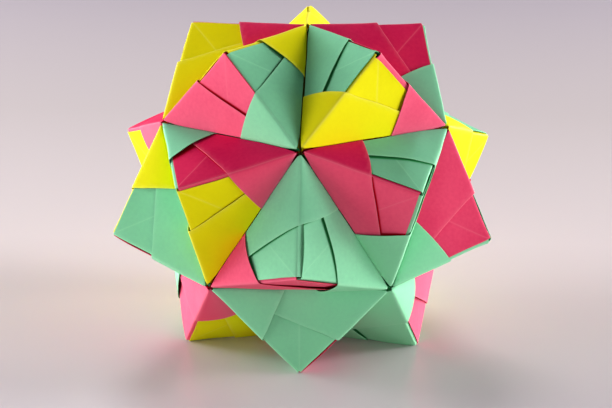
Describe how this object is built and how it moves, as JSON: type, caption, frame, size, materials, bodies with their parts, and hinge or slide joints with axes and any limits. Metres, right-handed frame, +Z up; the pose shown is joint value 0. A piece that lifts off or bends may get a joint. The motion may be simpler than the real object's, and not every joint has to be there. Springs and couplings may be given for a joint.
{
  "type": "modular origami ball",
  "caption": "Star-shaped paper ball of right-angled pyramids, folded from square sheets in pink, mint green and yellow that slot into each other with no glue.",
  "frame": {"origin": "on the floor under the centre of the ball, which stands on its lowest five tips", "axes": "+Z up, from the bottom vertex to the top vertex; -Y is the front, where a vertex of the upper ring faces the viewer"},
  "size_m": [0.098, 0.103, 0.0855],
  "materials": {
    "pink_paper": "dyed note paper, matte, same colour on both sides",
    "green_paper": "dyed note paper, matte, same colour on both sides",
    "yellow_paper": "dyed note paper, matte, same colour on both sides"
  },
  "bodies": {
    "root": {"crown_unit_1": "yellow_paper", "crown_unit_2": "green_paper", "crown_unit_3": "pink_paper", "crown_unit_4": "yellow_paper", "crown_unit_5": "pink_paper", "upper_ring_unit_1": "pink_paper", "upper_ring_unit_2": "yellow_paper", "upper_ring_unit_3": "yellow_paper", "upper_ring_unit_4": "yellow_paper", "upper_ring_unit_5": "green_paper", "waist_unit_1": "green_paper", "waist_unit_2": "green_paper", "waist_unit_3": "pink_paper", "waist_unit_4": "green_paper", "waist_unit_5": "pink_paper", "waist_unit_6": "green_paper", "waist_unit_7": "yellow_paper", "waist_unit_8": "pink_paper", "waist_unit_9": "yellow_paper", "waist_unit_10": "pink_paper", "lower_ring_unit_1": "green_paper", "lower_ring_unit_2": "yellow_paper", "lower_ring_unit_3": "pink_paper", "lower_ring_unit_4": "green_paper", "lower_ring_unit_5": "green_paper", "foot_unit_1": "green_paper", "foot_unit_2": "pink_paper", "foot_unit_3": "yellow_paper", "foot_unit_4": "yellow_paper", "foot_unit_5": "pink_paper"}
  },
  "joints": []
}
